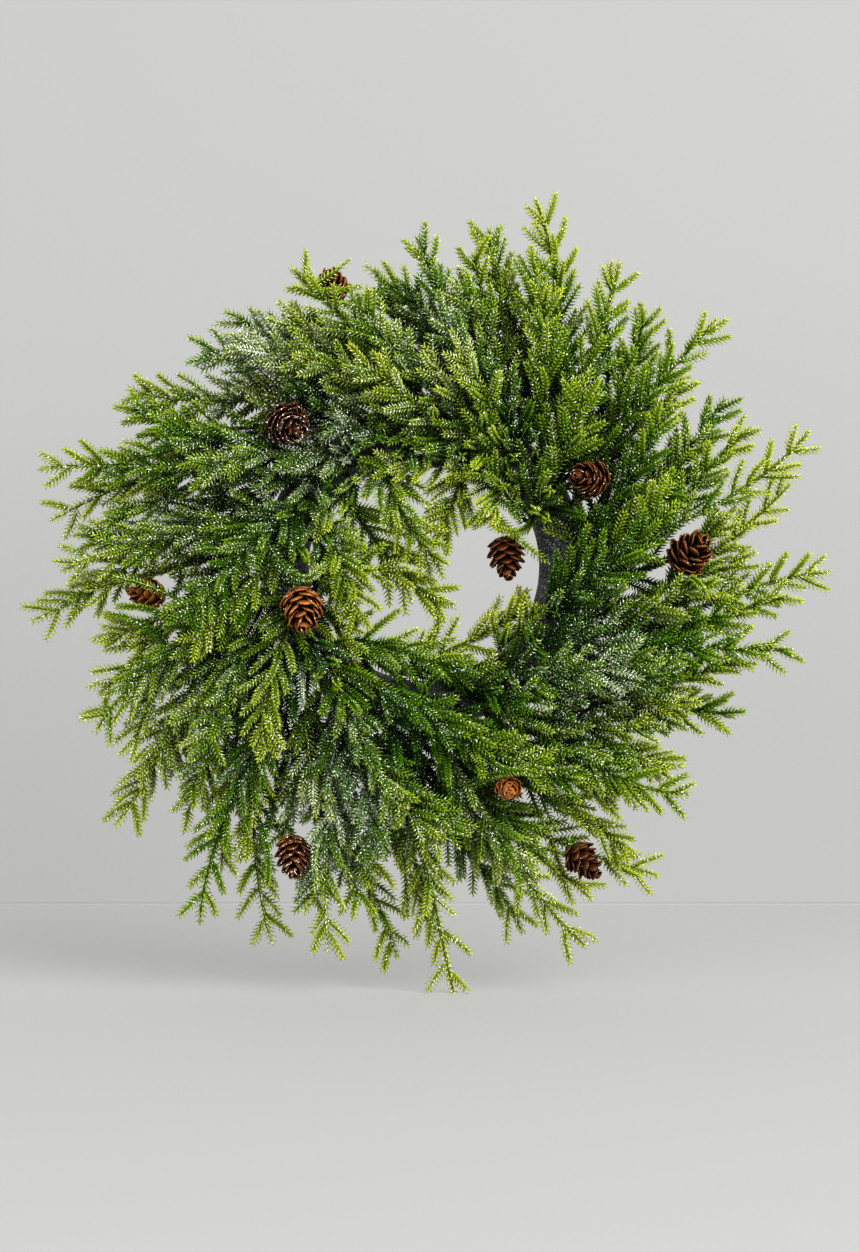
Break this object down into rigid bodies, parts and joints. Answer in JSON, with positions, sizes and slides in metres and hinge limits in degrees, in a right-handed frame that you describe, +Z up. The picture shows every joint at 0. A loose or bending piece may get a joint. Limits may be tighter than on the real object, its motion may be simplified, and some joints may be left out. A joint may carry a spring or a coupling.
{
  "type": "pine wreath",
  "caption": "Round hanging wreath of swept artificial pine sprays with small brown cones, on a flat-backed grey ring.",
  "frame": {"origin": "on the ring's flat back at its highest part, midway across the ring's width", "axes": "+Z up as it hangs; +Y out of the flat back, towards the wall or door; +X to the right seen from the front, which faces -Y"},
  "size_m": [0.614, 0.11, 0.6137],
  "materials": {
    "ring_grey": "matt charcoal grey with a dense fine white fleck",
    "foliage": "satin moulded needles, deep green to yellow-green at the tips, with white frost and sparkle in patches",
    "cone_brown": "dry, slightly glossy reddish-brown scales with lighter rims"
  },
  "bodies": {
    "root": {"ring": "ring_grey", "spray_outer_01": "foliage", "spray_outer_02": "foliage", "spray_outer_03": "foliage", "spray_outer_04": "foliage", "spray_outer_05": "foliage", "spray_outer_06": "foliage", "spray_outer_07": "foliage", "spray_outer_08": "foliage", "spray_outer_09": "foliage", "spray_outer_10": "foliage", "spray_outer_11": "foliage", "spray_outer_12": "foliage", "spray_outer_13": "foliage", "spray_outer_14": "foliage", "spray_outer_15": "foliage", "spray_outer_16": "foliage", "spray_outer_17": "foliage", "spray_outer_18": "foliage", "spray_outer_19": "foliage", "spray_outer_20": "foliage", "spray_outer_21": "foliage", "spray_outer_22": "foliage", "spray_outer_23": "foliage", "spray_outer_24": "foliage", "spray_outer_25": "foliage", "spray_outer_26": "foliage", "spray_outer_27": "foliage", "spray_outer_28": "foliage", "spray_outer_29": "foliage", "spray_outer_30": "foliage", "spray_outer_31": "foliage", "spray_front_01": "foliage", "spray_front_02": "foliage", "spray_front_03": "foliage", "spray_front_04": "foliage", "spray_front_05": "foliage", "spray_front_06": "foliage", "spray_front_07": "foliage", "spray_front_08": "foliage", "spray_front_09": "foliage", "spray_front_10": "foliage", "spray_inner_01": "foliage", "spray_inner_02": "foliage", "spray_inner_03": "foliage", "spray_inner_04": "foliage", "spray_inner_05": "foliage", "spray_inner_06": "foliage", "spray_inner_07": "foliage", "spray_inner_08": "foliage", "cone_01": "cone_brown", "cone_02": "cone_brown", "cone_03": "cone_brown", "cone_04": "cone_brown", "cone_05": "cone_brown", "cone_06": "cone_brown", "cone_07": "cone_brown", "cone_08": "cone_brown", "cone_09": "cone_brown", "cone_10": "cone_brown"}
  },
  "joints": []
}
